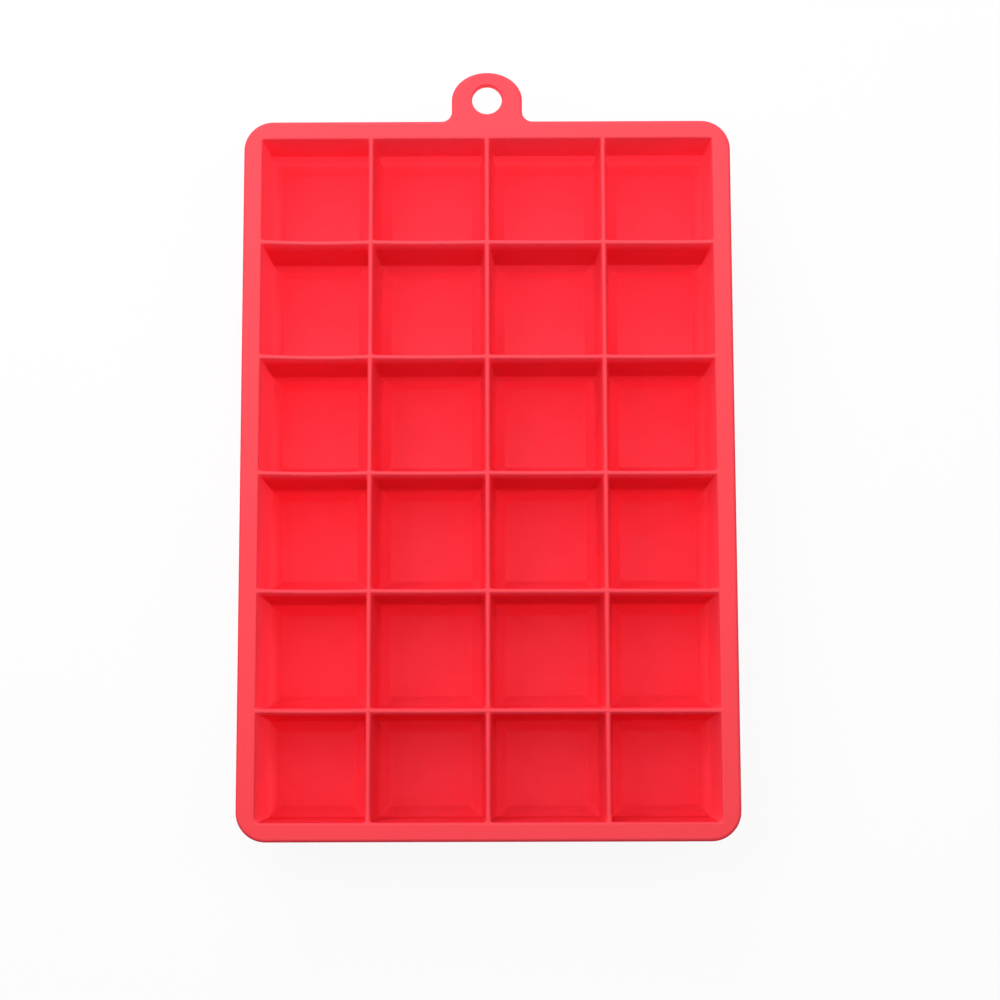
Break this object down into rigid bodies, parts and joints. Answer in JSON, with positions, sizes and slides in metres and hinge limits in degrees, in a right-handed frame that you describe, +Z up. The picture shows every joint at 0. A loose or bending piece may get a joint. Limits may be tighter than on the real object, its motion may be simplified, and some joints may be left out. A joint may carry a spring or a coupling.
{
  "type": "silicone ice cube tray",
  "caption": "Soft one-piece ice cube tray: a grid of square tapered cups under a flat rim, with a hanging tab; each cup's floor pushes up to free its cube.",
  "frame": {"origin": "on the standing surface, under the middle of the tray's whole box, tab included", "axes": "+Z up out of the cups, +Y along the tray towards the hanging tab, +X to the right"},
  "size_m": [0.1258, 0.1976, 0.0223],
  "materials": {
    "silicone": "satin red silicone, matt on the rim and the divider edges"
  },
  "bodies": {
    "tray_frame": {"rim_flange": "silicone", "left_side_wall": "silicone", "right_side_wall": "silicone", "tab_end_wall": "silicone", "near_end_wall": "silicone", "long_divider_1": "silicone", "long_divider_2": "silicone", "long_divider_3": "silicone", "cross_divider_1": "silicone", "cross_divider_2": "silicone", "cross_divider_3": "silicone", "cross_divider_4": "silicone", "cross_divider_5": "silicone"},
    "hang_tab": {"hang_tab": "silicone"},
    "cup_floor_r1_c1": {"cup_floor_r1_c1": "silicone"},
    "cup_floor_r1_c2": {"cup_floor_r1_c2": "silicone"},
    "cup_floor_r1_c3": {"cup_floor_r1_c3": "silicone"},
    "cup_floor_r1_c4": {"cup_floor_r1_c4": "silicone"},
    "cup_floor_r2_c1": {"cup_floor_r2_c1": "silicone"},
    "cup_floor_r2_c2": {"cup_floor_r2_c2": "silicone"},
    "cup_floor_r2_c3": {"cup_floor_r2_c3": "silicone"},
    "cup_floor_r2_c4": {"cup_floor_r2_c4": "silicone"},
    "cup_floor_r3_c1": {"cup_floor_r3_c1": "silicone"},
    "cup_floor_r3_c2": {"cup_floor_r3_c2": "silicone"},
    "cup_floor_r3_c3": {"cup_floor_r3_c3": "silicone"},
    "cup_floor_r3_c4": {"cup_floor_r3_c4": "silicone"},
    "cup_floor_r4_c1": {"cup_floor_r4_c1": "silicone"},
    "cup_floor_r4_c2": {"cup_floor_r4_c2": "silicone"},
    "cup_floor_r4_c3": {"cup_floor_r4_c3": "silicone"},
    "cup_floor_r4_c4": {"cup_floor_r4_c4": "silicone"},
    "cup_floor_r5_c1": {"cup_floor_r5_c1": "silicone"},
    "cup_floor_r5_c2": {"cup_floor_r5_c2": "silicone"},
    "cup_floor_r5_c3": {"cup_floor_r5_c3": "silicone"},
    "cup_floor_r5_c4": {"cup_floor_r5_c4": "silicone"},
    "cup_floor_r6_c1": {"cup_floor_r6_c1": "silicone"},
    "cup_floor_r6_c2": {"cup_floor_r6_c2": "silicone"},
    "cup_floor_r6_c3": {"cup_floor_r6_c3": "silicone"},
    "cup_floor_r6_c4": {"cup_floor_r6_c4": "silicone"}
  },
  "joints": [
    {"name": "tab_bend", "type": "hinge", "parent": "tray_frame", "child": "hang_tab", "pos_m": [0, 0.08575, 0.02105], "axis": [1, 0, 0], "range_deg": [-60, 60], "stiffness_Nm_per_rad": 0.004},
    {"name": "push_r1_c1", "type": "slide", "parent": "tray_frame", "child": "cup_floor_r1_c1", "axis": [0, 0, 1], "range_m": [0, 0.008], "stiffness_N_per_m": 250},
    {"name": "push_r1_c2", "type": "slide", "parent": "tray_frame", "child": "cup_floor_r1_c2", "axis": [0, 0, 1], "range_m": [0, 0.008], "stiffness_N_per_m": 250},
    {"name": "push_r1_c3", "type": "slide", "parent": "tray_frame", "child": "cup_floor_r1_c3", "axis": [0, 0, 1], "range_m": [0, 0.008], "stiffness_N_per_m": 250},
    {"name": "push_r1_c4", "type": "slide", "parent": "tray_frame", "child": "cup_floor_r1_c4", "axis": [0, 0, 1], "range_m": [0, 0.008], "stiffness_N_per_m": 250},
    {"name": "push_r2_c1", "type": "slide", "parent": "tray_frame", "child": "cup_floor_r2_c1", "axis": [0, 0, 1], "range_m": [0, 0.008], "stiffness_N_per_m": 250},
    {"name": "push_r2_c2", "type": "slide", "parent": "tray_frame", "child": "cup_floor_r2_c2", "axis": [0, 0, 1], "range_m": [0, 0.008], "stiffness_N_per_m": 250},
    {"name": "push_r2_c3", "type": "slide", "parent": "tray_frame", "child": "cup_floor_r2_c3", "axis": [0, 0, 1], "range_m": [0, 0.008], "stiffness_N_per_m": 250},
    {"name": "push_r2_c4", "type": "slide", "parent": "tray_frame", "child": "cup_floor_r2_c4", "axis": [0, 0, 1], "range_m": [0, 0.008], "stiffness_N_per_m": 250},
    {"name": "push_r3_c1", "type": "slide", "parent": "tray_frame", "child": "cup_floor_r3_c1", "axis": [0, 0, 1], "range_m": [0, 0.008], "stiffness_N_per_m": 250},
    {"name": "push_r3_c2", "type": "slide", "parent": "tray_frame", "child": "cup_floor_r3_c2", "axis": [0, 0, 1], "range_m": [0, 0.008], "stiffness_N_per_m": 250},
    {"name": "push_r3_c3", "type": "slide", "parent": "tray_frame", "child": "cup_floor_r3_c3", "axis": [0, 0, 1], "range_m": [0, 0.008], "stiffness_N_per_m": 250},
    {"name": "push_r3_c4", "type": "slide", "parent": "tray_frame", "child": "cup_floor_r3_c4", "axis": [0, 0, 1], "range_m": [0, 0.008], "stiffness_N_per_m": 250},
    {"name": "push_r4_c1", "type": "slide", "parent": "tray_frame", "child": "cup_floor_r4_c1", "axis": [0, 0, 1], "range_m": [0, 0.008], "stiffness_N_per_m": 250},
    {"name": "push_r4_c2", "type": "slide", "parent": "tray_frame", "child": "cup_floor_r4_c2", "axis": [0, 0, 1], "range_m": [0, 0.008], "stiffness_N_per_m": 250},
    {"name": "push_r4_c3", "type": "slide", "parent": "tray_frame", "child": "cup_floor_r4_c3", "axis": [0, 0, 1], "range_m": [0, 0.008], "stiffness_N_per_m": 250},
    {"name": "push_r4_c4", "type": "slide", "parent": "tray_frame", "child": "cup_floor_r4_c4", "axis": [0, 0, 1], "range_m": [0, 0.008], "stiffness_N_per_m": 250},
    {"name": "push_r5_c1", "type": "slide", "parent": "tray_frame", "child": "cup_floor_r5_c1", "axis": [0, 0, 1], "range_m": [0, 0.008], "stiffness_N_per_m": 250},
    {"name": "push_r5_c2", "type": "slide", "parent": "tray_frame", "child": "cup_floor_r5_c2", "axis": [0, 0, 1], "range_m": [0, 0.008], "stiffness_N_per_m": 250},
    {"name": "push_r5_c3", "type": "slide", "parent": "tray_frame", "child": "cup_floor_r5_c3", "axis": [0, 0, 1], "range_m": [0, 0.008], "stiffness_N_per_m": 250},
    {"name": "push_r5_c4", "type": "slide", "parent": "tray_frame", "child": "cup_floor_r5_c4", "axis": [0, 0, 1], "range_m": [0, 0.008], "stiffness_N_per_m": 250},
    {"name": "push_r6_c1", "type": "slide", "parent": "tray_frame", "child": "cup_floor_r6_c1", "axis": [0, 0, 1], "range_m": [0, 0.008], "stiffness_N_per_m": 250},
    {"name": "push_r6_c2", "type": "slide", "parent": "tray_frame", "child": "cup_floor_r6_c2", "axis": [0, 0, 1], "range_m": [0, 0.008], "stiffness_N_per_m": 250},
    {"name": "push_r6_c3", "type": "slide", "parent": "tray_frame", "child": "cup_floor_r6_c3", "axis": [0, 0, 1], "range_m": [0, 0.008], "stiffness_N_per_m": 250},
    {"name": "push_r6_c4", "type": "slide", "parent": "tray_frame", "child": "cup_floor_r6_c4", "axis": [0, 0, 1], "range_m": [0, 0.008], "stiffness_N_per_m": 250}
  ]
}
